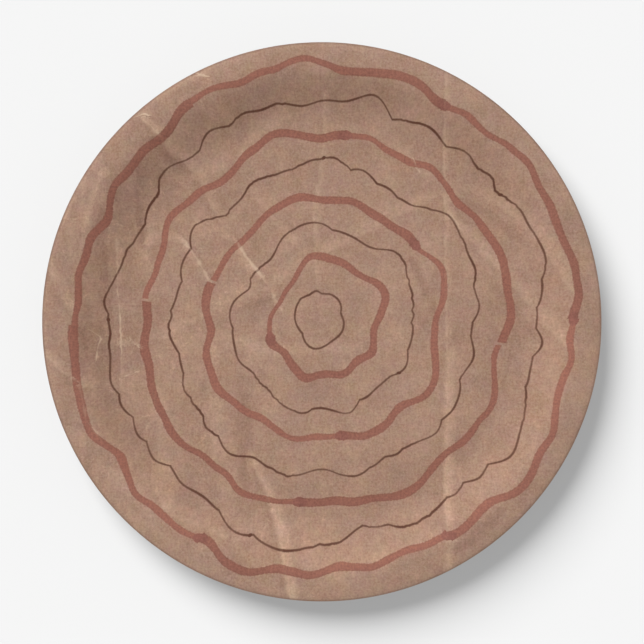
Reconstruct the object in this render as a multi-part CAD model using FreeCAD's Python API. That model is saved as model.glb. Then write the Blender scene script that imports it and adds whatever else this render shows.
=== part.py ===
import FreeCAD, Part

import math
import os

# A round paper plate, pressed from one sheet of board. Millimetres, +Z up.
# The origin is the centre of the underside of the well, on the table.
# The section keeps one thickness from the middle of the well to the cut edge of the rim.

# Driving dimensions. Radii, angles and widths are those of the upper face.
PLATE_DIAMETER = 228.6      # across the cut edge of the rim
PLATE_HEIGHT = 15.5         # table to the crest of the rim
BOARD_THICKNESS = 0.5
WALL_ANGLE = 45.0           # slope of the straight wall, from level
BASE_FILLET_RADIUS = 17.0   # hollow bend from the well up into the wall
SHOULDER_RADIUS = 8.0       # rounded bend from the wall over to the crest
RIM_WIDTH = 8.9             # crest to cut edge, seen from above
RIM_DROOP_ANGLE = 8.0       # slope of the rim, down, where its edge starts to turn
EDGE_ROLL_RADIUS = 5.4      # rounded turn-down along the cut edge
EDGE_ROLL_ANGLE = 50.0      # slope of the board, down, at the cut edge

# Slopes of the board from the middle outwards, in radians, rising outwards where positive
LEVEL = 0.0
WALL_SLOPE = math.radians(WALL_ANGLE)
RIM_SLOPE = -math.radians(RIM_DROOP_ANGLE)
EDGE_SLOPE = -math.radians(EDGE_ROLL_ANGLE)


def bend_run(radius, slope_from, slope_to):
    """Width of a bend as seen from above."""
    return radius * abs(math.sin(slope_to) - math.sin(slope_from))


def bend_rise(radius, slope_from, slope_to):
    """Height that the board gains or loses in a bend."""
    return radius * abs(math.cos(slope_to) - math.cos(slope_from))


# The straight wall takes the height that its two bends leave
WALL_RISE = (PLATE_HEIGHT - BOARD_THICKNESS
             - bend_rise(BASE_FILLET_RADIUS, LEVEL, WALL_SLOPE)
             - bend_rise(SHOULDER_RADIUS, WALL_SLOPE, LEVEL))
WALL_LENGTH = WALL_RISE / math.sin(WALL_SLOPE)

# The rim is one long soft arc that takes the width that the turned edge leaves
RIM_ARC_WIDTH = RIM_WIDTH - bend_run(EDGE_ROLL_RADIUS, RIM_SLOPE, EDGE_SLOPE)
RIM_ARC_RADIUS = RIM_ARC_WIDTH / abs(math.sin(RIM_SLOPE))

# The flat well takes the radius that the fillet, wall, shoulder and rim leave
WELL_RADIUS = (PLATE_DIAMETER / 2 - RIM_WIDTH
               - bend_run(SHOULDER_RADIUS, WALL_SLOPE, LEVEL)
               - WALL_LENGTH * math.cos(WALL_SLOPE)
               - bend_run(BASE_FILLET_RADIUS, LEVEL, WALL_SLOPE))


def normal(slope):
    """Direction square to the board and out of its upper face."""
    return FreeCAD.Vector(-math.sin(slope), 0, math.cos(slope))


def straight(start, slope, length):
    """Three points along a straight stretch of the upper face, each with its slope."""
    along = FreeCAD.Vector(math.cos(slope), 0, math.sin(slope))
    return [(start + along * (length * share), slope) for share in (0.0, 0.5, 1.0)]


def bend(start, slope_from, slope_to, radius):
    """Three points along a bend of the upper face, each with its slope.

    A hollow bend, where the slope grows outwards, has its centre above the board.
    """
    side = math.copysign(radius, slope_to - slope_from)
    centre = start + normal(slope_from) * side
    slopes = (slope_from, (slope_from + slope_to) / 2, slope_to)
    return [(centre - normal(slope) * side, slope) for slope in slopes]


def end_of(stretch):
    """Point where a stretch ends and the next begins."""
    return stretch[-1][0]


def upper_face():
    """Stretches of the upper face from the axis out to the cut edge, each tangent to the last."""
    well = straight(FreeCAD.Vector(0, 0, BOARD_THICKNESS), LEVEL, WELL_RADIUS)
    fillet = bend(end_of(well), LEVEL, WALL_SLOPE, BASE_FILLET_RADIUS)
    wall = straight(end_of(fillet), WALL_SLOPE, WALL_LENGTH)
    shoulder = bend(end_of(wall), WALL_SLOPE, LEVEL, SHOULDER_RADIUS)
    rim = bend(end_of(shoulder), LEVEL, RIM_SLOPE, RIM_ARC_RADIUS)
    rolled_edge = bend(end_of(rim), RIM_SLOPE, EDGE_SLOPE, EDGE_ROLL_RADIUS)
    return [well, fillet, wall, shoulder, rim, rolled_edge]


def board_edge(stretch, depth):
    """Line or arc of the section along one stretch, this deep below the upper face."""
    first, middle, last = [point - normal(slope) * depth for point, slope in stretch]
    if stretch[0][1] == stretch[-1][1]:
        return Part.LineSegment(first, last).toShape()
    return Part.Arc(first, middle, last).toShape()


def board_section():
    """Closed section of the board, with its outer end cut square to the board."""
    upper = [board_edge(stretch, 0.0) for stretch in upper_face()]
    under = [board_edge(stretch, BOARD_THICKNESS) for stretch in upper_face()]
    at_axis = Part.LineSegment(upper[0].firstVertex().Point, under[0].firstVertex().Point)
    cut_edge = Part.LineSegment(upper[-1].lastVertex().Point, under[-1].lastVertex().Point)
    edges = upper + under + [at_axis.toShape(), cut_edge.toShape()]
    return Part.Face(Part.Wire(Part.sortEdges(edges)[0]))


def plate():
    """The pressed plate: its section turned once round the axis."""
    return board_section().revolve(FreeCAD.Vector(0, 0, 0), FreeCAD.Vector(0, 0, 1), 360)


os.makedirs("parts", exist_ok=True)
plate().exportStep("parts/plate.step")
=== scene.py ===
import math
from collections import namedtuple

import bpy
from bpy.props import FloatProperty, FloatVectorProperty, IntProperty, PointerProperty
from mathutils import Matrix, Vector


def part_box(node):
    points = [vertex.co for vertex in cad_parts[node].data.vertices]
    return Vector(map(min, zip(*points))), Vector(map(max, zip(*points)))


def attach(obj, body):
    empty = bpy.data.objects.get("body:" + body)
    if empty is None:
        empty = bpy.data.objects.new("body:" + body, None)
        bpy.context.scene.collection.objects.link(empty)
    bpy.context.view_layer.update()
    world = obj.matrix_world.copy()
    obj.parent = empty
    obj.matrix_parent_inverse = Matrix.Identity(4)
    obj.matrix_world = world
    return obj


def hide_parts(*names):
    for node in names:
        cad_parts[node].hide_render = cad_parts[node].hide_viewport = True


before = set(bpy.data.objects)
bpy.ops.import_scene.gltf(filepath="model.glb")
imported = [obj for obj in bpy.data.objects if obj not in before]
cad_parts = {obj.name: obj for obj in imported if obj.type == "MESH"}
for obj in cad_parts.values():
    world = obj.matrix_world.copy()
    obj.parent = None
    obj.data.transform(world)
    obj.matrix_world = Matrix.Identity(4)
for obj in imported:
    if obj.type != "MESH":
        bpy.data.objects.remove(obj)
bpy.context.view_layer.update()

bl_info = {
    "name": "Paper Plate",
    "version": (1, 0, 0),
    "blender": (4, 5, 0),
    "location": "View3D > Sidebar > Paper Plate",
    "description": "Presses and prints a round paper plate and lights it in a plain studio",
    "category": "Object",
}

# Everything is in metres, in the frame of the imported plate. MM turns millimetres into metres.
MM = 0.001

NODE = "plate"
BODY = "root"
PIECE = "printed_plate"

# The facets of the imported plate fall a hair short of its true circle, hence the rounding
TENTH_OF_MM = 4
LOW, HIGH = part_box(NODE)
CAD_DIAMETER = round(max(HIGH.x - LOW.x, HIGH.y - LOW.y), TENTH_OF_MM)
CAD_HEIGHT = round(HIGH.z - LOW.z, TENTH_OF_MM)

# Where the photograph shows the plate, in pixels from the top left corner of its frame
FRAME_PX = 644.0
PLATE_CENTRE_PX = (321.8, 321.8)
PLATE_WIDTH_PX = 559.6

# Printed rings from the middle out, narrow and broad ones in turn
RING_COUNT = 8

# Light of (1 - rise) squared from the whole sky puts this share of its strength on a floor
SHARE_OF_GLOW = 1 / 6

# Half the side of the square floor and how far the camera sees, in metres
FLOOR_HALF = 4.0
FARTHEST_SEEN = 20.0
# The camera's sensor, in millimetres
SENSOR_WIDTH = 36.0

# One crease of the paper. Its second value sets how high its ridge stands and how much painted
# light pales the paper beside it, or below zero how deep its valley is and how dark its painted
# shade. rub is how white its fold line is. width is how far its tone reaches and path the points
# that it runs through, in millimetres from the middle of the plate. The painted tone is strongest
# on its left.
Crease = namedtuple("Crease", ("name", "wear", "rub", "width", "path"))
CREASES = (
    Crease("long upright fold, top", 0.55, 0.25, 1.3, (
        (51.2, 109), (50.2, 90), (51.3, 48), (51.8, -12))),
    Crease("scratch at the top", 0.3, 0.9, 0.7, ((38, 68), (40.5, 62.5))),
    Crease("long upright fold, foot", 1.15, 0.1, 2.2, ((52, -12), (51.3, -57), (50.8, -101))),
    Crease("long ridge across", 0.65, 0.1, 2.8, (
        (-84, -9), (-72, -9), (-48, 3), (-21, 15), (-2, 27), (28, 43), (37, 47), (51, 54))),
    Crease("arc to the right", 0.55, 0.1, 3.0, (
        (51, 57), (64.5, 54), (75, 47.5), (85.5, 39), (92.5, 28), (101.5, 13.5))),
    Crease("lower arc, upper end", 0.7, 0.5, 1.4, ((51, 48), (58, 38.5))),
    Crease("lower arc to the right", 0.75, 0.1, 2.4, (
        (58, 38.5), (66.5, 29.5), (78.5, 17.5), (89.5, 2.5), (99.5, -9.5))),
    Crease("ridge at the top", 0.6, 0.0, 3.0, ((4.5, 79), (28, 74), (37, 67), (44.5, 59.5), (52, 52))),
    Crease("left fan, outer", 0.95, 0.1, 2.2, ((-72, 32.5), (-64, 34.5), (-57, 33))),
    Crease("outer white stroke", 0.8, 0.7, 1.5, ((-46, 16.5), (-52, 26.3), (-57, 33.5))),
    Crease("left fan, outer foot", 0.5, 0.1, 1.6, ((-47, 16), (-49, 3))),
    Crease("left fan, inner", 0.4, 0.2, 1.8, ((-54, 44), (-48, 38.5), (-36, 33.5))),
    Crease("inner white stroke", 0.9, 0.8, 1.5, ((-24.5, 18.5), (-30, 25), (-36, 34))),
    Crease("left fan, inner foot", 0.5, 0.3, 1.2, ((-24.5, 18.5), (-22, 14), (-17, 5))),
    Crease("left fan, upper", 0.65, 0.0, 2.0, ((-29, 53.5), (-24, 46.5), (-16, 37.5), (-8, 29.5))),
    Crease("left fan, lower", 0.4, 0.0, 2.4, ((-76, 28), (-74, 19), (-63, 9), (-51, 2))),
    Crease("level ridge", 0.7, 0.0, 3.0, (
        (-46, -7), (-29, -12.5), (-13, -13.5), (-1, -12), (13.5, -12.5))),
    Crease("lower left bow", 0.7, 0.15, 3.0, (
        (-70, -30), (-67, -46), (-69, -66), (-64, -77), (-52, -83), (-40, -88))),
    Crease("lower left upright", 0.5, 0.0, 3.2, (
        (-47, -7), (-46, -32), (-45, -54), (-41, -69), (-37, -88))),
    Crease("brightest fold", 1.3, 0.2, 1.9, ((-29.4, -57.2), (-24, -68.3))),
    Crease("brightest fold, foot", 1.6, 0.2, 2.3, ((-24, -68.3), (-18, -86.3), (-13, -112))),
    Crease("upper left rim", 1.5, 0.5, 1.8, ((-72, 82), (-66, 76))),
    Crease("upper left wall", 0.5, 0.1, 2.2, ((-66, 75.5), (-50, 59.5), (-48, 53.5), (-44, 44.5))),
    Crease("upright at the top", 0.5, 0.15, 1.4, ((1, 93), (1, 74), (-3, 48), (-3, 27), (-2, 17))),
    Crease("pale patch at the top", 0.65, 0.0, 3.2, ((-48, 60), (-33, 68), (-25, 77), (-17, 82))),
    Crease("left wall, upper", 0.8, 0.0, 2.3, ((-91, 60), (-95, 47.5), (-98, 33))),
    Crease("left rim, upper", 1.0, 0.0, 2.2, ((-112, 24), (-106.5, 12), (-99.5, -1))),
    Crease("left wall, middle", 0.6, 0.4, 1.0, ((-84.8, 35), (-84.8, 13))),
    Crease("crack on the left wall", 0.4, 0.8, 0.8, (
        (-95.7, -3), (-91.2, -6.6), (-92.3, -10.5), (-93, -15.5))),
    Crease("upright crack by the wall", 0.5, 0.8, 0.8, ((-84.8, 13), (-83.5, -3.5), (-83.2, -14))),
    Crease("left wall, foot", 0.5, 0.3, 1.0, ((-83.2, -14), (-83.4, -26))),
    Crease("slanting crack by the wall", 0.4, 1.3, 0.8, ((-79.3, -7.2), (-77.6, -9.2), (-75.4, -10.8))),
    Crease("level crack by the wall", 0.4, 0.9, 0.7, ((-84, -23.6), (-81, -22.5), (-77, -20.8))),
    Crease("crack in the left rim", 0.3, 0.9, 0.7, ((-101.8, -22.1), (-99, -25))),
    Crease("scratch in the top left rim", 0.4, 1.2, 0.8, ((-52, 102), (-49.5, 100.9), (-46.8, 100.2))),
    Crease("scratch in the upper left rim", 0.4, 1.2, 0.8, ((-76, 83.6), (-73, 84.8), (-70.5, 84.4))),
    Crease("left wall, lower", 0.8, 0.5, 1.4, ((-89.6, -48.6), (-95.8, -40.2), (-98.8, -26))),
    Crease("left rim, lower", 1.0, 0.3, 2.0, ((-112, -14), (-105, -21), (-97, -26))),
    Crease("rim above the left", 0.8, 0.0, 2.4, ((-104, 44), (-99, 58))),
    Crease("rim at the top left", 0.8, 0.0, 3.0, ((-68, 92), (-48, 101))),
    Crease("wall at the lower left", 0.35, 0.0, 2.6, ((-92, -60), (-79, -68), (-72, -78))),
    Crease("rim at the lower left", 0.35, 0.0, 2.6, ((-78, -80), (-60, -92))),
    Crease("foot of the fold", 0.35, 0.0, 2.6, ((16, -99), (32, -95), (48, -88))),
    Crease("shade right of the middle", -0.7, 0.0, 2.0, ((37, 24), (41, 14), (48, 0))),
    Crease("shade left of the fan", -0.9, 0.0, 1.8, ((-76.2, 62), (-76.8, 45.5), (-75.8, 34))),
    Crease("shade beside the brightest fold", -0.8, 0.0, 3.8, ((-34.5, -32), (-34.5, -48), (-33, -65))),
    Crease("shade under the right arc", -0.9, 0.0, 2.4, ((58.5, 48.5), (69.5, 43.5), (80, 34.5))),
    Crease("shade under the lower arc", -0.45, 0.0, 2.6, ((70, 15.5), (80, 2.5), (88, -6.5))),
    Crease("dark crease on the right", -0.6, 0.0, 1.2, ((77.8, -14.5), (75.8, -20.5), (74.8, -27.5))),
    Crease("shade right of the long fold", -0.15, 0.0, 3.0, ((57.5, -72), (60, -57), (66, -46))),
    Crease("shade on the rim by the fold", -0.8, 0.0, 3.2, ((55.5, -94), (63.5, -89), (71.5, -81))),
    Crease("shade under the long ridge", -0.6, 0.0, 2.4, ((-34, 4), (-24, 8), (-17, 10))),
    Crease("shade on the left wall", -0.5, 0.0, 3.4, (
        (-88.5, 56), (-91, 43.5), (-92, 29), (-91, 13), (-88, 0))),
    Crease("shade on the upper left wall", -0.75, 0.0, 2.6, (
        (-54.5, 62.5), (-61.5, 68.5), (-67.5, 74.5))),
    Crease("shade on the left rim", -0.6, 0.0, 3.2, ((-101, -3.5), (-98, -9.5))),
)

# The values of a crease that the plate's mesh carries to its material
CREASE_VALUES = ("wear", "rub", "width")

# A pattern of noise, with features of this size, in millimetres on the board. On the printed
# rings the seed grows by per_ring from one ring to the next.
Noise = namedtuple("Noise", ("size", "seed", "detail", "roughness", "per_ring"),
                   defaults=(1.0, 0.5, 0.0))

CLOUDS = Noise(34.0, 1000.0, 6.0, 1.0)
FINE_GRAIN = Noise(0.95, 400.0, 1.0, 0.8)
UPRIGHT_FIBRES = Noise(1.2, 200.0)
LEVEL_FIBRES = Noise(1.2, 500.0)
MAUVE_BLOTCHES = Noise(6.0, 700.0, 3.0, 0.8)
WARM_BLOTCHES = Noise(14.0, 900.0, 4.0, 0.85)
FLECKS = Noise(1.1, 1700.0)
CUT_FIBRES = Noise(0.35, 41.0, 3.0, 0.7)

FACET_BENDS = Noise(9.0, 2300.0, 2.0)
STREAKS = Noise(5.0, 2900.0, 2.0, 0.6)
RAGGED_CHIPS = Noise(2.0, 2500.0, 2.0)
SPARSE_CHIPS = Noise(14.0, 2700.0)
ROUGH_CREASES = Noise(3.0, 3100.0, 3.0, 0.6)
PATCHY_CREASES = Noise(11.0, 3300.0)
RUBBED_PATCHES = Noise(6.0, 3500.0, 2.0)

SHARED_WANDER = Noise(34.0, 50.0)
RAGGED_INK = Noise(1.0, 21.0, 2.0, 0.8)
RING_SWAY = Noise(26.0, 0.0, per_ring=37.0)
RING_KINKS = Noise(19.0, 9.0, 0.0, per_ring=31.0)
RING_JITTER = Noise(3.4, 5.0, per_ring=17.0)
JITTERY_PARTS = Noise(15.0, 0.0, 0.0, per_ring=41.0)
RING_SWELL = Noise(12.0, 2.0, 2.0, per_ring=23.0)

# How much of a tone red, green and blue take. GRAIN_SHARES change the three alike on a screen.
GRAIN_SHARES = (0.88, 1.05, 1.23)
SHADE_SHARES = (0.93, 1.04, 1.0)
CREASE_SHARES = (1.0, 1.24, 1.2)


def srgb(red, green, blue):
    """A colour given by its 0 to 255 values on a screen, as Blender's linear values."""
    def linear(value):
        share = value / 255
        return share / 12.92 if share <= 0.04045 else ((share + 0.055) / 1.055) ** 2.4
    return (linear(red), linear(green), linear(blue))


PALE_FLECK = srgb(200, 168, 149)
DARK_FLECK = srgb(130, 97, 78)
RUBBED_PAPER = srgb(210, 184, 158)
DOUBLED_MARKER = srgb(136, 84, 74)
DARK_EDGE = srgb(112, 86, 72)


class Number:
    """A number socket that takes part in arithmetic: each operator adds its Math node."""

    def __init__(self, nodes, socket):
        self.nodes = nodes
        self.socket = socket

    def math(self, operation, *others):
        return self.nodes.math(operation, self, *others)

    def __add__(self, other):
        return self.nodes.math("ADD", self, other)

    def __radd__(self, other):
        return self.nodes.math("ADD", other, self)

    def __sub__(self, other):
        return self.nodes.math("SUBTRACT", self, other)

    def __rsub__(self, other):
        return self.nodes.math("SUBTRACT", other, self)

    def __mul__(self, other):
        return self.nodes.math("MULTIPLY", self, other)

    def __rmul__(self, other):
        return self.nodes.math("MULTIPLY", other, self)

    def __truediv__(self, other):
        return self.nodes.math("DIVIDE", self, other)

    def __rtruediv__(self, other):
        return self.nodes.math("DIVIDE", other, self)


class Nodes:
    """Adds nodes to one tree and links them."""

    MIX_FACTOR, MIX_A, MIX_B, MIX_RESULT = 0, 6, 7, 2
    NOISE_GAIN, SEED_SLANT = 4.0, 0.6

    def __init__(self, tree):
        self.tree = tree

    def add(self, kind, settings=None, inputs=None):
        """A node of this type, with its settings made first and then its sockets' values."""
        node = self.tree.nodes.new(kind)
        for name, value in (settings or {}).items():
            setattr(node, name, value)
        for key, value in (inputs or {}).items():
            self.feed(node.inputs[key], value)
        return node

    def feed(self, socket, value):
        """Links a value to a socket, or sets it there."""
        value = value.socket if isinstance(value, Number) else value
        if isinstance(value, bpy.types.NodeSocket):
            self.tree.links.new(value, socket)
        else:
            socket.default_value = value

    def number(self, kind, settings=None, inputs=None, output=0):
        return Number(self, self.add(kind, settings, inputs).outputs[output])

    def math(self, operation, *values):
        return self.number("ShaderNodeMath", {"operation": operation}, dict(enumerate(values)))

    def vector(self, operation, *values):
        node = self.add("ShaderNodeVectorMath", {"operation": operation}, dict(enumerate(values)))
        return node.outputs[0]

    def scaled(self, vector, factor):
        node = self.add("ShaderNodeVectorMath", {"operation": "SCALE"}, {0: vector, "Scale": factor})
        return node.outputs[0]

    def joined(self, x, y, z):
        return self.add("ShaderNodeCombineXYZ", inputs={0: x, 1: y, 2: z}).outputs[0]

    def split(self, vector):
        node = self.add("ShaderNodeSeparateXYZ", inputs={0: vector})
        return [Number(self, socket) for socket in node.outputs]

    def step(self, value, begin, end):
        """0 before begin and 1 after end, with a soft change between; begin may be the larger."""
        return self.number("ShaderNodeMapRange", {"interpolation_type": "SMOOTHSTEP"},
                           {0: value, 1: begin, 2: end, 3: 0.0, 4: 1.0})

    def length(self, vector):
        return self.number("ShaderNodeVectorMath", {"operation": "LENGTH"}, {0: vector}, "Value")

    def noise(self, place, pattern):
        """Noise over X and Y about zero, mostly between -1 and 1."""
        seed = self.joined(pattern.seed, pattern.seed * self.SEED_SLANT, 0.0)
        fac = self.number("ShaderNodeTexNoise", {"noise_dimensions": "2D"},
                          {"Vector": self.vector("ADD", place, seed), "Scale": 1 / pattern.size,
                           "Detail": pattern.detail, "Roughness": pattern.roughness})
        return (fac - 0.5) * self.NOISE_GAIN

    def cell_edges(self, place, size):
        """Distance to the nearest edge between cells of this size, as a share of the size."""
        return self.number("ShaderNodeTexVoronoi",
                           {"voronoi_dimensions": "2D", "feature": "DISTANCE_TO_EDGE"},
                           {"Vector": place, "Scale": 1 / size})

    def chance(self, first, second):
        """A random number from 0 to 1 for each pair of numbers."""
        return self.number("ShaderNodeTexWhiteNoise", {"noise_dimensions": "2D"},
                           {"Vector": self.joined(first, second, 0.0)})

    def mix(self, factor, first, second):
        """A mix of two colours; a factor of 1 is the second."""
        def colour(value):
            return (*value, 1.0) if isinstance(value, tuple) else value
        node = self.add("ShaderNodeMix", {"data_type": "RGBA"},
                        {self.MIX_FACTOR: factor, self.MIX_A: colour(first),
                         self.MIX_B: colour(second)})
        return node.outputs[self.MIX_RESULT]


class PlateShape(bpy.types.PropertyGroup):
    """Sizes of the pressed board, along its upper face."""

    diameter: FloatProperty(
        name="Diameter", description="Across the cut edge of the rim",
        default=CAD_DIAMETER, unit="LENGTH")
    height: FloatProperty(
        name="Height", description="Table to the crest of the rim",
        default=CAD_HEIGHT, unit="LENGTH")
    board: FloatProperty(
        name="Board", description="Thickness of the board",
        default=0.5 * MM, unit="LENGTH")
    wall_angle: FloatProperty(
        name="Wall Angle", description="Slope of the straight wall, from level",
        default=math.radians(45), subtype="ANGLE")
    fillet_radius: FloatProperty(
        name="Base Fillet", description="Radius of the hollow bend from the well into the wall",
        default=17 * MM, unit="LENGTH")
    shoulder_radius: FloatProperty(
        name="Shoulder", description="Radius of the bend from the wall over to the crest",
        default=8 * MM, unit="LENGTH")
    rim_width: FloatProperty(
        name="Rim Width", description="Crest to cut edge, seen from above",
        default=8.9 * MM, unit="LENGTH")
    rim_droop: FloatProperty(
        name="Rim Droop", description="Slope of the rim, down, where its edge starts to turn",
        default=math.radians(8), subtype="ANGLE")
    roll_radius: FloatProperty(
        name="Edge Roll", description="Radius of the turn-down along the cut edge",
        default=5.4 * MM, unit="LENGTH")
    roll_angle: FloatProperty(
        name="Edge Slope", description="Slope of the board, down, at the cut edge",
        default=math.radians(50), subtype="ANGLE")
    crease_depth: FloatProperty(
        name="Crease Depth", description="Height of the ridge that a plain crease makes",
        default=0.09 * MM, unit="LENGTH")
    crumple_depth: FloatProperty(
        name="Crumple Depth", description="Height of the soft waves between the creases",
        default=0.15 * MM, unit="LENGTH")
    crumple_size: FloatProperty(
        name="Crumple Size", description="Length of the soft waves between the creases",
        default=16 * MM, unit="LENGTH")
    rings: IntProperty(
        name="Rings", description="Rings of faces on the upper face", default=140, min=8)
    under_rings: IntProperty(
        name="Under Rings", description="Rings of faces on the underside", default=56, min=8)
    segments: IntProperty(
        name="Segments", description="Faces round the plate", default=480, min=32)


class PlatePrint(bpy.types.PropertyGroup):
    """Colours of the board and of the printed rings, and the scale of the rings."""

    kraft: FloatVectorProperty(
        name="Kraft", description="Ground colour of the printed face",
        default=srgb(167, 134, 114), subtype="COLOR")
    under: FloatVectorProperty(
        name="Underside", description="Colour of the plain underside",
        default=srgb(176, 146, 120), subtype="COLOR")
    core: FloatVectorProperty(
        name="Cut Edge", description="Colour of the board where it is cut",
        default=srgb(128, 104, 86), subtype="COLOR")
    marker: FloatVectorProperty(
        name="Marker", description="Colour of the broad rings",
        default=srgb(147, 94, 79), subtype="COLOR")
    pen: FloatVectorProperty(
        name="Pen", description="Colour of the narrow rings",
        default=srgb(94, 57, 42), subtype="COLOR")
    ring_gap: FloatProperty(
        name="Ring Gap", description="Middle of one ring to the middle of the next",
        default=13.3 * MM, unit="LENGTH")
    marker_width: FloatProperty(
        name="Marker Width", description="Width of a broad ring",
        default=3.1 * MM, unit="LENGTH")
    pen_width: FloatProperty(
        name="Pen Width", description="Width of a narrow ring",
        default=0.86 * MM, unit="LENGTH")


class StudioStage(bpy.types.PropertyGroup):
    """The plain studio: its light, floor and camera."""

    light_bearing: FloatProperty(
        name="Light Bearing", description="Where the soft light stands, round from +X",
        default=math.radians(126), subtype="ANGLE")
    light_height: FloatProperty(
        name="Light Height", description="How high the soft light stands above the horizon",
        default=math.radians(46), subtype="ANGLE")
    light_spread: FloatProperty(
        name="Light Spread", description="How wide the soft light looks from the plate",
        default=math.radians(26), subtype="ANGLE")
    direct_share: FloatProperty(
        name="Direct Share", description="Share of the light on the plate that is direct",
        default=0.335, min=0.0, max=1.0, subtype="FACTOR")
    floor_light_height: FloatProperty(
        name="Floor Light Height", description="As Light Height, for the light on the floor",
        default=math.radians(37), subtype="ANGLE")
    floor_light_spread: FloatProperty(
        name="Floor Light Spread", description="As Light Spread, for the light on the floor",
        default=math.radians(38), subtype="ANGLE")
    floor_direct: FloatProperty(
        name="Floor Direct", description="Direct light on the floor, which the shadow lacks",
        default=4.0, min=0.0, max=8.0)
    horizon_glow: FloatProperty(
        name="Horizon Glow", description="How much brighter the surroundings are low down",
        default=2.0, min=0.0, max=6.0)
    floor_fill: FloatProperty(
        name="Floor Fill", description="Share of the floor's own brightness in its shadow",
        default=0.326, min=0.0, max=1.0, subtype="FACTOR")
    floor: FloatVectorProperty(
        name="Floor", description="Colour of the floor and the backdrop",
        default=srgb(246, 246, 246), subtype="COLOR")
    lens: FloatProperty(
        name="Lens", description="Focal length of the camera, in millimetres",
        default=100.0)


class SectionWalk:
    """Walks out along the upper face of the board, one stretch after another.

    station is how far out each point of the face lies, along the face from the middle. After
    the walk, radius, height and slope say where that is and how the board leans there.
    """

    def __init__(self, station, height):
        self.left = station
        self.slope_here = 0.0
        self.radius = 0.0
        self.height = height
        self.slope = 0.0

    def straight(self, length):
        walked = self.left.math("MINIMUM", length)
        self.radius = walked * cosine(self.slope_here) + self.radius
        self.height = walked * sine(self.slope_here) + self.height
        self.left = self.left - walked

    def bend(self, radius, turn, side):
        """A bend of this radius through the angle turn; side is 1 if hollow and -1 if rounded."""
        length = radius * turn
        walked = self.left.math("MINIMUM", length)
        turned = walked / radius * side
        slope = turned + self.slope_here
        self.radius = (sine(slope) - sine(self.slope_here)) * radius * side + self.radius
        self.height = (cosine(self.slope_here) - cosine(slope)) * radius * side + self.height
        self.slope = turned + self.slope
        self.slope_here = turn * side + self.slope_here
        self.left = self.left - walked


def sine(angle):
    return angle.math("SINE") if isinstance(angle, Number) else math.sin(angle)


def cosine(angle):
    return angle.math("COSINE") if isinstance(angle, Number) else math.cos(angle)


def walk_section(share, size):
    """Walks this share of the section: well, fillet, wall, shoulder, rim and turned edge."""
    wall, droop, roll = size["wall_angle"], size["rim_droop"], size["roll_angle"]
    bends = size["fillet_radius"] + size["shoulder_radius"]
    wall_rise = size["height"] - size["board"] - bends * (1 - cosine(wall))
    wall_length = wall_rise / sine(wall)
    wall_run = wall_length * cosine(wall) + bends * sine(wall)
    roll_run = size["roll_radius"] * (sine(roll) - sine(droop))
    rim_radius = (size["rim_width"] - roll_run) / sine(droop)
    well_radius = size["diameter"] / 2 - size["rim_width"] - wall_run
    path = (well_radius + wall_length + bends * wall + rim_radius * droop
            + size["roll_radius"] * (roll - droop))
    walk = SectionWalk(share * path, size["board"])
    walk.straight(well_radius)
    walk.bend(size["fillet_radius"], wall, 1)
    walk.straight(wall_length)
    walk.bend(size["shoulder_radius"], wall, -1)
    walk.bend(rim_radius, droop, -1)
    walk.bend(size["roll_radius"], roll - droop, -1)
    return walk


def crease_fields(nodes, creases, place):
    """What the nearest crease does to each point, as numbers by name, lengths in metres.

    side is the distance across the crease, above zero on its left, and gap the plain distance.
    """
    near = nodes.add("GeometryNodeProximity", {"target_element": "EDGES"},
                     {"Geometry": creases, "Sample Position": place})
    edge = nodes.add("GeometryNodeSampleNearest", {"domain": "EDGE"},
                     {"Geometry": creases, "Sample Position": place}).outputs[0]

    def from_edge(value, data_type):
        return nodes.add("GeometryNodeSampleIndex", {"data_type": data_type, "domain": "EDGE"},
                         {"Geometry": creases, "Value": value, "Index": edge}).outputs[0]

    ends = nodes.add("GeometryNodeInputMeshEdgeVertices")
    along = nodes.vector("SUBTRACT", ends.outputs["Position 2"], ends.outputs["Position 1"])
    along = from_edge(along, "FLOAT_VECTOR")
    out = nodes.vector("SUBTRACT", place, near.outputs["Position"])
    across = nodes.split(nodes.vector("CROSS_PRODUCT", along, out))[2]
    gap = Number(nodes, near.outputs["Distance"])
    fields = {"side": across.math("SIGN") * gap, "gap": gap}
    for name in CREASE_VALUES:
        fields[name] = Number(nodes, from_edge(named_attribute(nodes, name), "FLOAT"))
    return fields


def named_attribute(nodes, name):
    return nodes.add("GeometryNodeInputNamedAttribute", {"data_type": "FLOAT"},
                     {"Name": name}).outputs[0]


def passed(nodes, geometry, kind, inputs, settings=None):
    """The geometry, passed through a node of this type."""
    return nodes.add(kind, settings, {"Geometry": geometry, **inputs}).outputs[0]


# A crease's ridge reaches this many of its widths to either side. All relief fades out between
# these shares of the plate's radius, so that the rim's edge keeps its form.
RIDGE_REACH = 2.0
NO_RELIEF_FROM, FULL_RELIEF_TO = 0.97, 0.9
CRUMPLE_SEED = 3.0

# Points of the wrapped grid nearer than this are one, along its seam and on the axis
WELD = 0.001 * MM
# Faces that meet at a larger angle than this have a sharp edge between them
SHARP_EDGE = math.radians(50)

# The mean of board_side over a face is 0 above, a half on the cut edge and 1 below
UPPER_FACES_FROM, CUT_FACES_FROM, UNDER_FACES_FROM = -0.25, 0.25, 0.75


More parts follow.
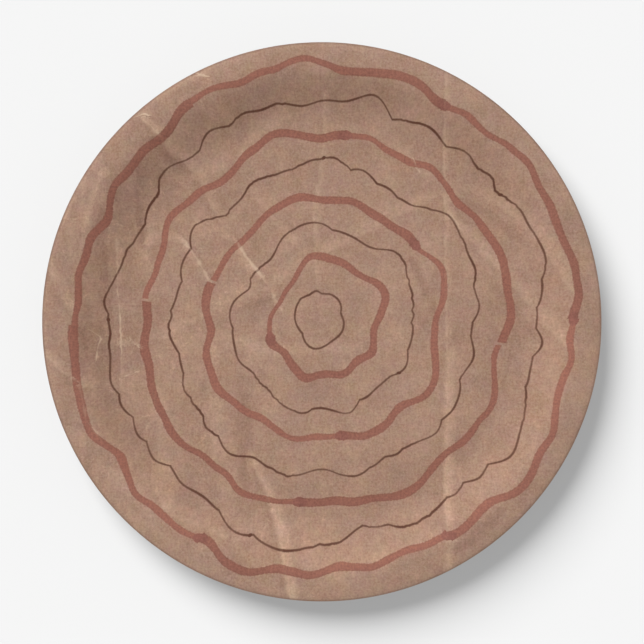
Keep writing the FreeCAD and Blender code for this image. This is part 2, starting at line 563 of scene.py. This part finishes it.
def pressing_tree(sizes, printed, under, core):
    """Geometry Nodes, with an input for each size, that press the plate and emboss its creases.

    One grid is wrapped round the axis. Its rows walk out along the upper face, cross the cut
    edge and walk back along the underside, so the shell is closed and has one thickness.
    """
    tree = bpy.data.node_groups.new("Pressed Plate", "GeometryNodeTree")
    tree.is_modifier = True
    kinds = {"creases": "NodeSocketGeometry"}
    for name, value in sizes.items():
        kinds[name] = "NodeSocketInt" if isinstance(value, int) else "NodeSocketFloat"
    for name, kind in kinds.items():
        tree.interface.new_socket(name=name, in_out="INPUT", socket_type=kind)
    tree.interface.new_socket(name="plate", in_out="OUTPUT", socket_type="NodeSocketGeometry")
    nodes = Nodes(tree)
    group = nodes.add("NodeGroupInput")
    size = {name: Number(nodes, group.outputs[name]) for name in sizes}

    # Each side has one row of points more than it has rings of faces
    rows = size["rings"] + size["under_rings"] + 2
    columns = size["segments"] + 1
    grid = nodes.add("GeometryNodeMeshGrid", inputs={
        "Size X": 1.0, "Size Y": 1.0, "Vertices X": rows, "Vertices Y": columns})
    index = nodes.number("GeometryNodeInputIndex")
    # The halves keep whole numbers clear of rounding
    row = ((index + 0.5) / columns).math("FLOOR")
    column = index - row * columns
    is_under = row.math("GREATER_THAN", size["rings"] + 0.5)
    share_out = row / size["rings"]
    share_back = 1 - (row - size["rings"] - 1) / size["under_rings"]
    share = share_out + (share_back - share_out) * is_under
    walk = walk_section(share, size)
    depth = is_under * size["board"]
    radius = walk.radius + depth * sine(walk.slope)
    height = walk.height - depth * cosine(walk.slope)
    turn = column / size["segments"] * (2 * math.pi)
    x = radius * cosine(turn)
    y = radius * sine(turn)
    flat = nodes.joined(x, y, 0.0)

    crease = crease_fields(nodes, group.outputs["creases"], flat)
    reach = crease["gap"] / (crease["width"] * MM)
    ridge = nodes.step(reach, RIDGE_REACH, 0.0) * crease["wear"]
    waves = nodes.noise(flat, Noise(size["crumple_size"], CRUMPLE_SEED))
    relief = ridge * size["crease_depth"] + waves * size["crumple_depth"]
    floor_to_middle = size["crease_depth"] + size["crumple_depth"]
    fade = nodes.step(radius / (size["diameter"] / 2), NO_RELIEF_FROM, FULL_RELIEF_TO)
    lift = (relief + floor_to_middle).math("MAXIMUM", 0.0) * fade
    place = nodes.joined(x, y, height + lift)

    plate = passed(nodes, grid.outputs["Mesh"], "GeometryNodeSetPosition", {"Position": place})
    carried = {"crease_" + name: value for name, value in crease.items()}
    for name, value in {"board_side": is_under, **carried}.items():
        plate = passed(nodes, plate, "GeometryNodeStoreNamedAttribute",
                       {"Name": name, "Value": value}, {"data_type": "FLOAT", "domain": "POINT"})
    plate = passed(nodes, plate, "GeometryNodeMergeByDistance", {"Distance": WELD})
    plate = passed(nodes, plate, "GeometryNodeSetShadeSmooth", {"Shade Smooth": True})
    corner = nodes.number("GeometryNodeInputMeshEdgeAngle").math("GREATER_THAN", SHARP_EDGE)
    plate = passed(nodes, plate, "GeometryNodeSetShadeSmooth",
                   {"Selection": corner, "Shade Smooth": False}, {"domain": "EDGE"})
    plate = passed(nodes, plate, "GeometryNodeRealizeInstances", {})
    board_side = Number(nodes, named_attribute(nodes, "board_side"))
    for material, begin in ((printed, UPPER_FACES_FROM), (core, CUT_FACES_FROM),
                            (under, UNDER_FACES_FROM)):
        chosen = board_side.math("GREATER_THAN", begin)
        plate = passed(nodes, plate, "GeometryNodeSetMaterial",
                       {"Selection": chosen, "Material": material})
    nodes.feed(nodes.add("NodeGroupOutput").inputs["plate"], plate)
    return tree


def crease_mesh():
    """The creases as edges, each with its values, for the pressing tree to emboss."""
    points, edges = [], []
    values = {name: [] for name in CREASE_VALUES}
    for crease in CREASES:
        first = len(points)
        points += [(x * MM, y * MM, 0.0) for x, y in crease.path]
        spans = [(i, i + 1) for i in range(first, len(points) - 1)]
        edges += spans
        for name in CREASE_VALUES:
            values[name] += [getattr(crease, name)] * len(spans)
    mesh = bpy.data.meshes.new("creases")
    mesh.from_pydata(points, edges, [])
    for name, numbers in values.items():
        mesh.attributes.new(name, "FLOAT", "EDGE").data.foreach_set("value", numbers)
    return mesh


def new_material(name):
    """An empty material with its Principled shader, and the nodes that feed it."""
    material = bpy.data.materials.new(name)
    material.use_nodes = True
    nodes = Nodes(material.node_tree)
    shader = material.node_tree.nodes["Principled BSDF"]
    place = nodes.add("ShaderNodeTexCoord").outputs["Object"]
    return material, nodes, shader, nodes.scaled(place, 1 / MM)


def attribute(nodes, name):
    """A number stored on the mesh."""
    return Number(nodes, nodes.add("ShaderNodeAttribute", {"attribute_name": name}).outputs["Fac"])


def seen_from_above(nodes, place):
    """A place without its height."""
    x, y = nodes.split(place)[:2]
    return nodes.joined(x, y, 0.0)


def toned(nodes, paper, tone, shares):
    """The paper made paler by a tone above zero or darker by one below, by each colour's share."""
    red, green, blue = (tone * share + 1 for share in shares)
    return nodes.vector("MULTIPLY", paper, nodes.joined(red, green, blue))


# The fibres are noise drawn out along them. A tint is what a blotch adds to red, green and blue.
FIBRE_ALONG, FIBRE_ACROSS = 0.3, 1.7
FINE_SHARE, FIBRE_SHARE = 1.3, 0.4
MAUVE_TINT = (0.026, -0.042, 0.0)
WARM_TINT = (0.01, 0.0, -0.085)
FLECK_STRENGTH, CLOUD_STRENGTH, GRAIN_STRENGTH = 0.35, 0.25, 0.093
# A fleck grows clear from the first of these values of its noise to the second
PALE_FLECKS_AT, DARK_FLECKS_AT = (1.2, 1.7), (-1.1, -1.6)


def kraft_ground(nodes, place, colour):
    """Kraft paper: grain, crossed fibres, soft blotches and flecks. Gives its colour and grain."""
    x, y, z = nodes.split(place)
    fine = nodes.noise(place, FINE_GRAIN)
    drawn_up = nodes.joined(x * FIBRE_ACROSS, y * FIBRE_ALONG, z)
    drawn_level = nodes.joined(x * FIBRE_ALONG, y * FIBRE_ACROSS, z)
    fibres = nodes.noise(drawn_up, UPRIGHT_FIBRES) + nodes.noise(drawn_level, LEVEL_FIBRES)
    grain = fine * FINE_SHARE + fibres * FIBRE_SHARE
    mauve = nodes.noise(place, MAUVE_BLOTCHES)
    warm = nodes.noise(place, WARM_BLOTCHES)
    tint = nodes.joined(*(mauve * by_mauve + warm * by_warm + 1
                          for by_mauve, by_warm in zip(MAUVE_TINT, WARM_TINT)))
    ground = nodes.vector("MULTIPLY", colour, tint)
    fleck = nodes.noise(place, FLECKS)
    ground = nodes.mix(nodes.step(fleck, *PALE_FLECKS_AT) * FLECK_STRENGTH, ground, PALE_FLECK)
    ground = nodes.mix(nodes.step(fleck, *DARK_FLECKS_AT) * FLECK_STRENGTH, ground, DARK_FLECK)
    ground = toned(nodes, ground, nodes.noise(place, CLOUDS) * CLOUD_STRENGTH, SHADE_SHARES)
    return toned(nodes, ground, grain * GRAIN_STRENGTH, GRAIN_SHARES), grain


# Sizes are in millimetres, and the widths of cracks are shares of them
FACET_SIZE, CHIP_SIZE = 17.0, 8.0
CRACK_WIDTH, CHIP_WIDTH = 0.035, 0.06
# The facets' painted light and shade, and how much paler cracks and chips are
FACET_TONE, CRACK_TONE, CHIP_TONE = 0.06, 0.07, 0.16
LEFT_STREAK_TONE, STREAK_TONE = 0.06, 0.01
# How far noise bends facets and chips, and how streaks lean, bend and stretch
FACET_BEND_X, FACET_BEND_Y = 3.0, -2.0
CHIP_BEND_X, CHIP_BEND_Y = 1.2, 2.0
STREAK_LEAN, STREAK_BEND, STREAK_ALONG = 0.12, 1.5, 0.2
# The values of noise between which cracks and chips grow clear
CRACKED_AT, CHIPPED_AT, CHIPS_WHOLE_AT = (-0.2, 0.6), (0.0, 0.6), (-0.3, 0.4)
# Where the paper is least and most crumpled, how much that is, and where the left streaks grow
CALM_FROM, CRUMPLED_TO, CRUMPLED_SLANT = 60.0, -60.0, 0.2
CALM_SHARE, CRUMPLED_SHARE = 0.25, 1.45
STREAKS_FROM, STREAKS_TO = -30.0, -100.0


def crumpled(nodes, place, paper):
    """Facets between unnamed creases, short cracks and upright streaks, more to the left."""
    x, y = nodes.split(place)[:2]
    bend = nodes.noise(place, FACET_BENDS)
    bent = nodes.joined(x + bend * FACET_BEND_X, y + bend * FACET_BEND_Y, 0.0)
    facet = nodes.add("ShaderNodeTexVoronoi", {"voronoi_dimensions": "2D"},
                      {"Vector": bent, "Scale": 1 / FACET_SIZE})
    kind = nodes.split(facet.outputs["Color"])[0] - 0.5
    crack = nodes.step(nodes.cell_edges(bent, FACET_SIZE), CRACK_WIDTH, 0.0)
    crack = crack * nodes.step(bend, *CRACKED_AT)
    rough = nodes.noise(place, RAGGED_CHIPS)
    ragged = nodes.joined(x + rough * CHIP_BEND_X, y + bend * CHIP_BEND_Y, 0.0)
    sparse = nodes.step(nodes.noise(place, SPARSE_CHIPS), *CHIPPED_AT)
    chip = nodes.step(nodes.cell_edges(ragged, CHIP_SIZE), CHIP_WIDTH, 0.0)
    chip = chip * sparse * nodes.step(rough, *CHIPS_WHOLE_AT)
    more_left = nodes.step(x + y * CRUMPLED_SLANT, CALM_FROM, CRUMPLED_TO)
    more_left = more_left * (CRUMPLED_SHARE - CALM_SHARE) + CALM_SHARE
    # Each facet is paler or darker at random: painted light and shade of crumpled paper
    tone = (kind * FACET_TONE + crack * CRACK_TONE + chip * CHIP_TONE) * more_left
    lengthwise = nodes.joined(x + y * STREAK_LEAN + bend * STREAK_BEND, y * STREAK_ALONG, 0.0)
    at_left = nodes.step(x, STREAKS_FROM, STREAKS_TO)
    streak = nodes.noise(lengthwise, STREAKS) * (at_left * LEFT_STREAK_TONE + STREAK_TONE)
    return toned(nodes, paper, tone + streak, SHADE_SHARES)


# Painted light and shade left and right of a crease, and how much stays where the crease is faint
LEFT_TONE, RIGHT_TONE = 0.21, -0.04
FAINT_SHARE = 0.6
RUBBED_STRENGTH = 0.8
# The shares of a crease's width over which its tone fades in and changes side
TONE_OVER, SIDE_OVER = (2.3, 0.5), (-0.9, 0.4)
# How far noise moves the tone's end, its change of side and the rubbed line, in millimetres
ROUGH_TONE, ROUGH_SIDE, ROUGH_LINE = 0.6, 0.5, 0.3
# The values of noise between which creases are clear and their lines are rubbed
CLEAR_AT, RUBBED_AT = (-1.0, 0.7), (-0.7, 0.8)
# A rubbed line's half breadth where it is least and most rubbed, as shares of its crease's
# width, which counts up to the third value
THIN_LINE, BROAD_LINE, WIDEST_LINE = 0.2, 0.8, 1.5
# The sharp share of that half breadth, the line's strength where least rubbed and where it ends
SHARP_SHARE, FAINT_LINE, LINE_OVER = 0.2, 0.4, (1.8, 0.9)


def shaded_and_rubbed_creases(nodes, place, paper):
    """The creases' painted light and shade and rubbed lines on the paper. Gives also the lines."""
    side, gap = (attribute(nodes, "crease_" + name) / MM for name in ("side", "gap"))
    wear, rub, width = (attribute(nodes, "crease_" + name) for name in CREASE_VALUES)
    rough = nodes.noise(place, ROUGH_CREASES)
    patchy = nodes.step(nodes.noise(place, PATCHY_CREASES), *CLEAR_AT)
    near = nodes.step((gap + rough * ROUGH_TONE) / width, *TONE_OVER)
    near = near * (patchy * (1 - FAINT_SHARE) + FAINT_SHARE)
    on_left = nodes.step((side + rough * ROUGH_SIDE) / width, *SIDE_OVER)
    # Painted light on one side of the crease and painted shade on the other
    tone = near * (on_left * (LEFT_TONE - RIGHT_TONE) + RIGHT_TONE)
    paper = toned(nodes, paper, tone * wear, CREASE_SHARES)
    rubbed = nodes.step(nodes.noise(place, RUBBED_PATCHES), *RUBBED_AT)
    breadth = rubbed * (BROAD_LINE - THIN_LINE) + THIN_LINE
    breadth = breadth * width.math("MINIMUM", WIDEST_LINE)
    away = (side + rough * ROUGH_LINE).math("ABSOLUTE")
    drawn = nodes.step(away, breadth, breadth * SHARP_SHARE)
    # The side of a crease also changes half way to the next one, where no line is drawn
    line = drawn * nodes.step(gap, *LINE_OVER) * rub
    line = line * (rubbed * (1 - FAINT_LINE) + FAINT_LINE)
    return nodes.mix(line * RUBBED_STRENGTH, paper, RUBBED_PAPER), line


# The rings' line, in millimetres. All wander alike, by noise read on one circle, and each one has
# its own sway. A marker ring shifts from stroke to stroke, and a pen ring has kinks and jitter.
FIRST_BAND = 3.0
WANDER, WANDER_CIRCLE = 3.0, 40.0
SMOOTH_WITHIN, WANDERING_FROM = 8.0, 30.0
SWAY, LARGEST_SWAY = 2.8, 3.4
STROKE_SHIFT = 0.9
KINKS, JITTER = 2.4, 0.45
JITTERY_AT = (0.2, 0.8)

# A ring has one stroke for each STROKE_RADIUS of its radius. Where two strokes meet, chance
# leaves a gap, or lays a dab of marker or a dot of pen, of this half length and half breadth.
STROKE_RADIUS = 17.0
GAPS_BELOW, DABS_ABOVE, DOTS_ABOVE = 0.22, 0.45, 0.5
DAB_SIZE, DOT_SIZE = (3.0, 2.1), (0.9, 0.8)
# Their soft ends: a gap's in millimetres, and the marks' as shares of their size
GAP_ENDS, DAB_ENDS, DOT_ENDS = (0.75, 0.4), (1.08, 0.9), (1.2, 0.7)
DAB_RAGGED = 0.12
# These tell apart what chance gives a ring's start, its strokes and its joints
START_KEY, STROKE_KEY, JOINT_KEY = 0.5, 60, 20

# A marker stroke starts broad and tapers. Widths are shares of the ring's, the rest millimetres.
MARKER_START, MARKER_TAPER = 1.21, 0.42
MARKER_SWELL, PEN_SWELL = 0.15, 0.22
MARKER_RAGGED, PEN_RAGGED = 0.2, 0.06
SOFT_EDGE = 0.25
# Ink pools inside a marker's edge, from the first distance to the second
POOL_FROM, POOL_TO = 0.9, 0.1


def ring_print(nodes, place, colours):
    """Masks of the printed rings: broad marker, narrow pen, and the marks where strokes meet."""
    level = seen_from_above(nodes, place)
    radius = nodes.length(level)
    outward = nodes.vector("NORMALIZE", level)
    gap = colours.ring_gap / MM
    shared = nodes.noise(nodes.scaled(outward, WANDER_CIRCLE), SHARED_WANDER) * WANDER
    shared = shared * nodes.step(radius, SMOOTH_WITHIN, WANDERING_FROM)
    number = ((radius - shared - FIRST_BAND) / gap).math("FLOOR")
    middle = (number + 0.5) * gap + FIRST_BAND
    printed = number.math("GREATER_THAN", -0.5) * number.math("LESS_THAN", RING_COUNT - 0.5)
    is_marker = number.math("FLOORED_MODULO", 2.0)
    on_marker = is_marker * printed
    is_pen = 1 - is_marker
    on_pen = is_pen * printed
    on_ring = nodes.scaled(outward, middle)

    def along_ring(pattern):
        """Noise along each ring, another on each one."""
        return nodes.noise(on_ring, pattern._replace(
            seed=number * pattern.per_ring + pattern.seed))

    x, y = nodes.split(outward)[:2]
    turn = y.math("ARCTAN2", x) / (2 * math.pi)
    strokes = (middle / STROKE_RADIUS).math("ROUND").math("MAXIMUM", 1.0)
    along = turn * strokes + nodes.chance(number, START_KEY)
    drawn = along - along.math("FLOOR")
    stroke = along.math("FLOOR").math("FLOORED_MODULO", strokes)
    stroke_kind = nodes.chance(number, stroke + STROKE_KEY)
    joint = (along + 0.5).math("FLOOR")
    joint_kind = nodes.chance(number, joint.math("FLOORED_MODULO", strokes) + JOINT_KEY)
    arc = (along - joint) * middle * (2 * math.pi) / strokes

    sway = (along_ring(RING_SWAY) * SWAY).math("MAXIMUM", -LARGEST_SWAY)
    sway = sway.math("MINIMUM", LARGEST_SWAY)
    kinks = along_ring(RING_KINKS).math("ABSOLUTE")
    jitter = along_ring(RING_JITTER) * nodes.step(along_ring(JITTERY_PARTS), *JITTERY_AT)
    line = middle + shared + sway + (stroke_kind - 0.5) * STROKE_SHIFT * is_marker
    line = line + (kinks * KINKS + jitter * JITTER) * is_pen
    off = radius - line
    across = off.math("ABSOLUTE")

    def near_joint(size):
        """Distance to the nearest joint, as a share of a mark's half length and half breadth."""
        squares = [(way / half).math("POWER", 2.0) for way, half in zip((arc, off), size)]
        return (squares[0] + squares[1]).math("SQRT")

    ragged = nodes.noise(place, RAGGED_INK)
    swell = along_ring(RING_SWELL)
    broad = swell * MARKER_SWELL + MARKER_START - drawn * MARKER_TAPER
    broad = broad * (colours.marker_width / MM / 2) + ragged * MARKER_RAGGED
    narrow = (swell * PEN_SWELL + 1) * (colours.pen_width / MM / 2) + ragged * PEN_RAGGED
    in_gap = nodes.step(arc.math("ABSOLUTE"), *GAP_ENDS)
    in_gap = in_gap * joint_kind.math("LESS_THAN", GAPS_BELOW)
    marker = nodes.step(across, broad + SOFT_EDGE, broad - SOFT_EDGE) * on_marker
    pen = nodes.step(across, narrow + SOFT_EDGE, narrow - SOFT_EDGE) * on_pen
    dab = nodes.step(near_joint(DAB_SIZE) + ragged * DAB_RAGGED, *DAB_ENDS)
    dot = nodes.step(near_joint(DOT_SIZE), *DOT_ENDS)
    return {"marker": marker * (1 - in_gap),
            "pen": pen,
            "dab": dab * joint_kind.math("GREATER_THAN", DABS_ABOVE) * on_marker,
            "dot": dot * joint_kind.math("GREATER_THAN", DOTS_ABOVE) * on_pen,
            "pooled": nodes.step(across, broad - POOL_FROM, broad - POOL_TO),
            "swell": swell, "stroke": stroke_kind, "drawn": drawn}


# How much of the paper the marker hides, how much a dab darkens it and how far rubbing thins it
MARKER_COVER, DAB_STRENGTH, RUBBED_OFF = 0.92, 0.8, 0.5
PEN_COVER, PEN_COVER_SWELL, PEN_GRAIN = 0.9, 0.12, 0.08
# The marker's plain tone, and what each of these adds to it
PLAIN_TONE, STROKE_TONE, SWELL_TONE = 1.02, 0.08, 0.03
POOLED_TONE, DRAWN_TONE, GRAIN_TONE = -0.09, 0.12, 0.11


def inked(nodes, place, paper, grain, line, colours):
    """The printed rings over the paper, thinner where the paper is rubbed."""
    ring = ring_print(nodes, place, colours)
    worn = 1 - line * RUBBED_OFF
    tone = ((ring["stroke"] - 0.5) * STROKE_TONE + ring["swell"] * SWELL_TONE
            + ring["pooled"] * POOLED_TONE + (ring["drawn"] - 0.5) * DRAWN_TONE
            + grain * GRAIN_TONE + PLAIN_TONE)
    ink = nodes.mix(ring["dab"] * DAB_STRENGTH, tuple(colours.marker), DOUBLED_MARKER)
    marker = ring["marker"].math("MAXIMUM", ring["dab"]) * worn * MARKER_COVER
    paper = nodes.mix(marker, paper, nodes.scaled(ink, tone))
    pen = ring["pen"] * (ring["swell"] * PEN_COVER_SWELL + PEN_COVER)
    pen = pen.math("MAXIMUM", ring["dot"]) * worn
    return nodes.mix(pen, paper, nodes.scaled(tuple(colours.pen), 1 + grain * PEN_GRAIN))


# Radius, in millimetres, over which the rim grows darker, and by how much
RIM_SHADE_FROM, RIM_SHADE_TO, RIM_SHADE = 98.0, 105.0, 0.06
# The face grows darker towards the cut edge between these distances from it, in millimetres
DARK_EDGE_FROM, DARK_EDGE_TO, DARK_EDGE_STRENGTH = 1.3, 0.2, 0.5
BUMP_DEPTH = 0.05 * MM


def finished(nodes, shader, colour, roughness, specular, bump_strength, height):
    """Feeds the shader of a board's face; height is its relief in the bump."""
    nodes.feed(shader.inputs["Base Color"], colour)
    nodes.feed(shader.inputs["Roughness"], roughness)
    shader.inputs["Specular IOR Level"].default_value = specular
    bump = nodes.add("ShaderNodeBump", inputs={
        "Strength": bump_strength, "Distance": BUMP_DEPTH, "Height": height})
    nodes.feed(shader.inputs["Normal"], bump.outputs["Normal"])


def printed_face(colours, outer_radius):
    """The upper face: kraft ground, painted light and shade of creases, printed rings over it."""
    material, nodes, shader, place = new_material("printed kraft face")
    paper, grain = kraft_ground(nodes, place, tuple(colours.kraft))
    paper, line = shaded_and_rubbed_creases(nodes, place, crumpled(nodes, place, paper))
    paper = inked(nodes, place, paper, grain, line, colours)
    radius = nodes.length(seen_from_above(nodes, place))
    shade = nodes.step(radius, RIM_SHADE_FROM, RIM_SHADE_TO) * RIM_SHADE
    edge = nodes.step(outer_radius / MM - radius, DARK_EDGE_FROM, DARK_EDGE_TO) * DARK_EDGE_STRENGTH
    colour = nodes.mix(edge, nodes.scaled(paper, 1 - shade), DARK_EDGE)
    finished(nodes, shader, colour, roughness=grain * 0.02 + 0.8, specular=0.3,
             bump_strength=0.4, height=grain + line * 2.0)
    return material


def plain_underside(colours):
    """The underside: plain kraft board with the same grain and no print."""
    material, nodes, shader, place = new_material("plain kraft underside")
    ground, grain = kraft_ground(nodes, place, tuple(colours.under))
    finished(nodes, shader, ground, roughness=grain * 0.02 + 0.88, specular=0.25,
             bump_strength=0.5, height=grain)
    return material


def cut_board(colours):
    """The cut edge: fibres of the board end on, a little dark."""
    material, nodes, shader, place = new_material("cut board edge")
    fibre = nodes.noise(place, CUT_FIBRES)
    colour = nodes.scaled(tuple(colours.core), 1 + fibre * 0.12)
    finished(nodes, shader, colour, roughness=0.95, specular=0.2,
             bump_strength=0.6, height=fibre * 1.2)
    return material


def shown(name, mesh):
    """A new object at the origin that shows this mesh."""
    made = bpy.data.objects.new(name, mesh)
    bpy.context.scene.collection.objects.link(made)
    return made


def applied(made, tree, values):
    """Runs a Geometry Nodes tree on an object, keeps the result as its plain mesh."""
    modifier = made.modifiers.new(tree.name, "NODES")
    modifier.node_group = tree
    for item in tree.interface.items_tree:
        if item.in_out == "INPUT" and item.name in values:
            modifier[item.identifier] = values[item.name]
    evaluated = made.evaluated_get(bpy.context.evaluated_depsgraph_get())
    mesh = bpy.data.meshes.new_from_object(evaluated)
    made.modifiers.clear()
    made.data = mesh
    mesh.name = made.name
    return made


class PLATE_OT_press(bpy.types.Operator):
    """Press the plate from its board, emboss its creases and print its upper face"""

    bl_idname = "plate.press"
    bl_label = "Press and Print Plate"

    def execute(self, context):
        shape = context.scene.plate_shape
        colours = context.scene.plate_print
        sizes = {name: getattr(shape, name) for name in PlateShape.__annotations__}
        printed = printed_face(colours, shape.diameter / 2)
        tree = pressing_tree(sizes, printed, plain_underside(colours), cut_board(colours))
        plate = applied(shown(PIECE, crease_mesh()), tree, sizes)
        if not plate.data.polygons:
            raise RuntimeError("the pressing tree made no faces")
        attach(plate, BODY)
        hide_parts(NODE)
        return {"FINISHED"}


def seen_by_camera(nodes):
    """1 for rays from the camera or from a polished or clear thing, and 0 for other light."""
    path = nodes.add("ShaderNodeLightPath")
    camera, glossy, clear = (
        Number(nodes, path.outputs[name])
        for name in ("Is Camera Ray", "Is Glossy Ray", "Is Transmission Ray"))
    return camera.math("MAXIMUM", glossy).math("MAXIMUM", clear)


def studio_floor(stage):
    """A wide level floor under the plate."""
    mesh = bpy.data.meshes.new("floor")
    corners = [(FLOOR_HALF * x, FLOOR_HALF * y, 0) for x, y in ((-1, -1), (1, -1), (1, 1), (-1, 1))]
    mesh.from_pydata(corners, [], [(0, 1, 2, 3)])
    material = bpy.data.materials.new("pale floor")
    material.use_nodes = True
    nodes = Nodes(material.node_tree)
    shader = material.node_tree.nodes["Principled BSDF"]
    light_level = 1 - stage.direct_share + stage.floor_direct
    paint = [value / light_level for value in stage.floor]
    shader.inputs["Base Color"].default_value = (*paint, 1.0)
    shader.inputs["Roughness"].default_value = 1.0
    shader.inputs["Specular IOR Level"].default_value = 0.0
    plain = nodes.add("ShaderNodeEmission", inputs={"Color": (*stage.floor, 1.0)})
    fill = nodes.add("ShaderNodeMixShader", inputs={
        0: seen_by_camera(nodes) * stage.floor_fill, 1: shader.outputs[0], 2: plain.outputs[0]})
    nodes.feed(material.node_tree.nodes["Material Output"].inputs["Surface"], fill.outputs[0])
    mesh.materials.append(material)
    floor = shown("floor", mesh)
    return floor


def soft_light(name, bearing, height, spread, level, lit):
    """A wide, distant light on one object; level is the light that it puts on the floor."""
    lamp = bpy.data.lights.new(name, "SUN")
    lamp.angle = spread
    lamp.energy = level * math.pi / math.sin(height)
    light = shown(name, lamp)
    towards = Vector((math.cos(bearing) * math.cos(height),
                      math.sin(bearing) * math.cos(height),
                      math.sin(height)))
    light.rotation_mode = "QUATERNION"
    light.rotation_quaternion = towards.to_track_quat("Z", "Y")
    light.light_linking.receiver_collection = bpy.data.collections.new(name)
    light.light_linking.receiver_collection.objects.link(lit)


def surrounding_light(stage):
    """Even light from all round; what is seen past the floor has the floor's colour."""
    world = bpy.data.worlds.new("studio")
    world.use_nodes = True
    nodes = Nodes(world.node_tree)
    background = world.node_tree.nodes["Background"]
    rise = nodes.split(nodes.add("ShaderNodeTexCoord").outputs["Generated"])[2]
    low_down = (1 - rise.math("ABSOLUTE")).math("POWER", 2.0)
    even = 1 - stage.horizon_glow * SHARE_OF_GLOW
    ambient = (low_down * stage.horizon_glow + even) * (1 - stage.direct_share)
    lit = nodes.joined(ambient, ambient, ambient)
    nodes.feed(background.inputs["Color"],
               nodes.mix(seen_by_camera(nodes), lit, tuple(stage.floor)))
    background.inputs["Strength"].default_value = 1.0
    bpy.context.scene.world = world


def straight_down_camera(stage, shape):
    """A long lens straight above the plate, framed as in the photograph."""
    lens = bpy.data.cameras.new("camera")
    lens.lens = stage.lens
    lens.sensor_width = SENSOR_WIDTH
    lens.clip_end = FARTHEST_SEEN
    camera = shown("camera", lens)
    pixel = shape.diameter / PLATE_WIDTH_PX
    roll_drop = shape.roll_radius * (math.cos(shape.rim_droop) - math.cos(shape.roll_angle))
    distance = FRAME_PX * pixel * lens.lens / SENSOR_WIDTH
    centre_px = FRAME_PX / 2
    camera.location = ((centre_px - PLATE_CENTRE_PX[0]) * pixel,
                       (PLATE_CENTRE_PX[1] - centre_px) * pixel,
                       shape.height - roll_drop + distance)
    bpy.context.scene.camera = camera


class PLATE_OT_stage(bpy.types.Operator):
    """Lay the pale floor and set the soft light and the camera"""

    bl_idname = "plate.stage"
    bl_label = "Set Studio Stage"

    def execute(self, context):
        stage = context.scene.plate_stage
        floor = studio_floor(stage)
        soft_light("plate_light", stage.light_bearing, stage.light_height,
                   stage.light_spread, stage.direct_share, bpy.data.objects[PIECE])
        soft_light("floor_light", stage.light_bearing, stage.floor_light_height,
                   stage.floor_light_spread, stage.floor_direct, floor)
        surrounding_light(stage)
        straight_down_camera(stage, context.scene.plate_shape)
        context.scene.view_settings.view_transform = "Standard"
        return {"FINISHED"}


class PLATE_PT_panel(bpy.types.Panel):
    """Sizes, colours and steps of the paper plate"""

    bl_idname = "PLATE_PT_panel"
    bl_label = "Paper Plate"
    bl_space_type = "VIEW_3D"
    bl_region_type = "UI"
    bl_category = "Paper Plate"

    def draw(self, context):
        layout = self.layout
        for group_name, kind in GROUPS.items():
            box = layout.box()
            for name in kind.__annotations__:
                box.prop(getattr(context.scene, group_name), name)
        layout.operator(PLATE_OT_press.bl_idname)
        layout.operator(PLATE_OT_stage.bl_idname)


GROUPS = {"plate_shape": PlateShape, "plate_print": PlatePrint, "plate_stage": StudioStage}
CLASSES = (*GROUPS.values(), PLATE_OT_press, PLATE_OT_stage, PLATE_PT_panel)


def register():
    for made in CLASSES:
        bpy.utils.register_class(made)
    for name, kind in GROUPS.items():
        setattr(bpy.types.Scene, name, PointerProperty(type=kind))


def unregister():
    for name in GROUPS:
        delattr(bpy.types.Scene, name)
    for made in reversed(CLASSES):
        bpy.utils.unregister_class(made)


def main():
    register()
    bpy.ops.plate.press()
    bpy.ops.plate.stage()


if __name__ == "__main__":
    main()
